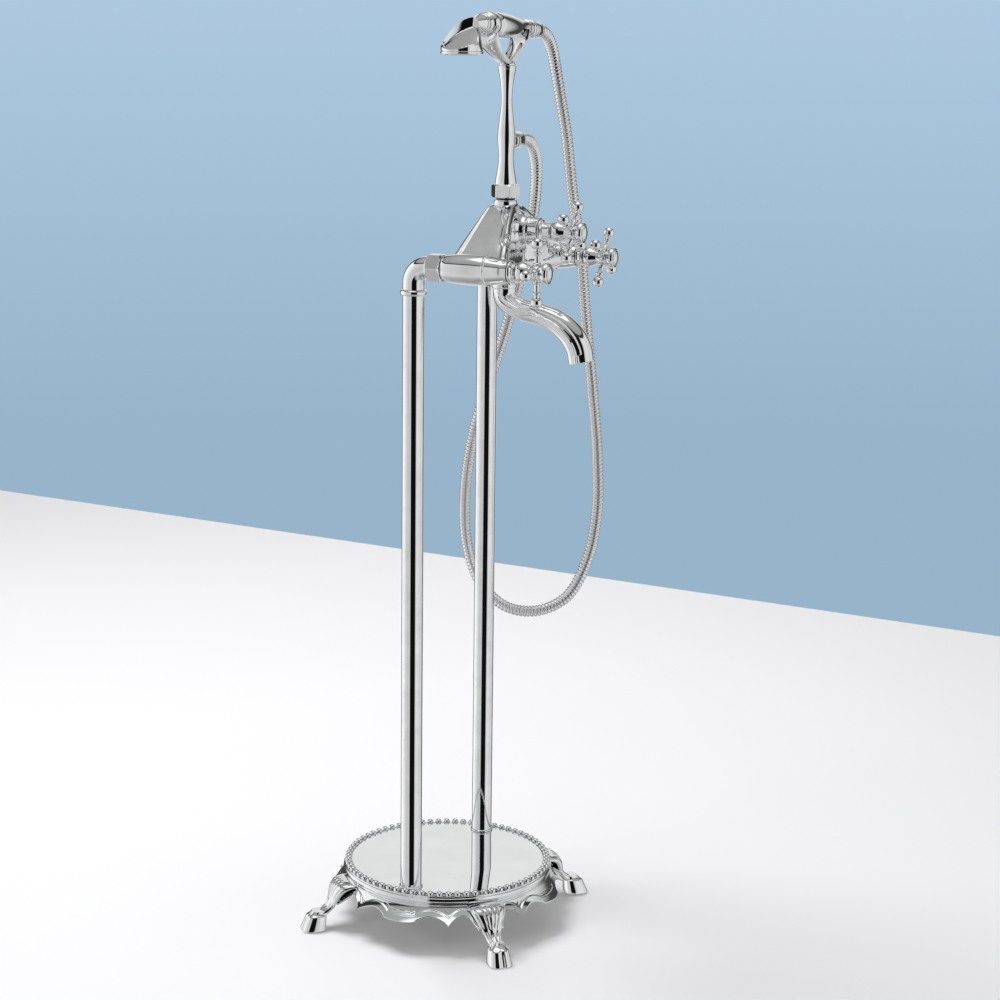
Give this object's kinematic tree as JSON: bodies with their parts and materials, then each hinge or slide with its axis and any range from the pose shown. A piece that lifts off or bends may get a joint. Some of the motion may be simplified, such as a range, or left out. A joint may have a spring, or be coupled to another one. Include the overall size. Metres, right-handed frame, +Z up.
{
  "type": "floor standing bath filler with hand shower",
  "caption": "Freestanding chrome bath mixer on two risers and a footed round base, with cross handles, curved spout and a telephone hand shower on a cradle.",
  "frame": {"origin": "on the floor, under the middle of the object's box without the hose and its nuts", "axes": "+Z up, -Y towards the bath (spout and handles point that way), +X towards the cold riser and the hose"},
  "size_m": [0.3044, 0.3076, 1.0422],
  "materials": {
    "chrome": "bright polished chrome plate",
    "mirror_plate": "flat mirror chrome plate",
    "hose": "polished spiral-wound stainless hose",
    "steel": "plain stainless steel",
    "brass": "turned brass",
    "rubber": "black rubber",
    "cap": "polished index disc"
  },
  "bodies": {
    "root": {"base_casting": "chrome", "base_plate": "mirror_plate", "bead_ring": "chrome", "plate_screw_1": "steel", "plate_screw_2": "steel", "plate_screw_3": "steel", "plate_screw_4": "steel", "hot_inlet_tail": "brass", "hot_tail_washer": "rubber", "hot_tail_locknut": "brass", "hot_riser": "chrome", "hot_riser_collar": "chrome", "hot_elbow": "chrome", "hot_union_washer": "rubber", "hot_union_nut": "chrome", "cold_inlet_tail": "brass", "cold_tail_washer": "rubber", "cold_tail_locknut": "brass", "cold_riser": "chrome", "cold_riser_collar": "chrome", "cold_elbow": "chrome", "cold_union_washer": "rubber", "cold_union_nut": "chrome", "mixer_body": "chrome", "hot_cartridge": "brass", "hot_bonnet": "chrome", "cold_cartridge": "brass", "cold_bonnet": "chrome", "diverter_cartridge": "brass", "diverter_bonnet": "chrome", "spout": "chrome", "aerator": "steel", "cradle_washer": "rubber", "cradle_nut": "chrome", "cradle_stem": "chrome", "cradle_fork": "chrome", "lower_hose_nut": "chrome", "shower_hose": "hose"},
    "hot_valve": {"hot_spindle": "brass", "hot_handle": "chrome", "hot_handle_screw": "steel", "hot_index_cap": "cap"},
    "cold_valve": {"cold_spindle": "brass", "cold_handle": "chrome", "cold_handle_screw": "steel", "cold_index_cap": "cap"},
    "diverter_valve": {"diverter_spindle": "brass", "diverter_handle": "chrome", "diverter_handle_screw": "steel", "diverter_index_cap": "cap"},
    "handset": {"handset_head": "chrome", "spray_face": "steel", "neck_ring": "chrome", "handset_grip": "chrome", "end_ferrule": "chrome", "upper_hose_nut": "chrome"}
  },
  "joints": [
    {"name": "hot_turn", "type": "hinge", "parent": "root", "child": "hot_valve", "pos_m": [-0.0993, -0.12516, 0.7705], "axis": [0, -1, 0], "range_deg": [0, 90]},
    {"name": "cold_turn", "type": "hinge", "parent": "root", "child": "cold_valve", "pos_m": [0.1007, -0.12516, 0.7705], "axis": [0, -1, 0], "range_deg": [-90, 0]},
    {"name": "diverter_turn", "type": "hinge", "parent": "root", "child": "diverter_valve", "pos_m": [0.0007, -0.12516, 0.806], "axis": [0, -1, 0], "range_deg": [0, 90]},
    {"name": "handset_lift", "type": "slide", "parent": "root", "child": "handset", "axis": [0, 0, 1], "range_m": [0, 0.08]}
  ]
}
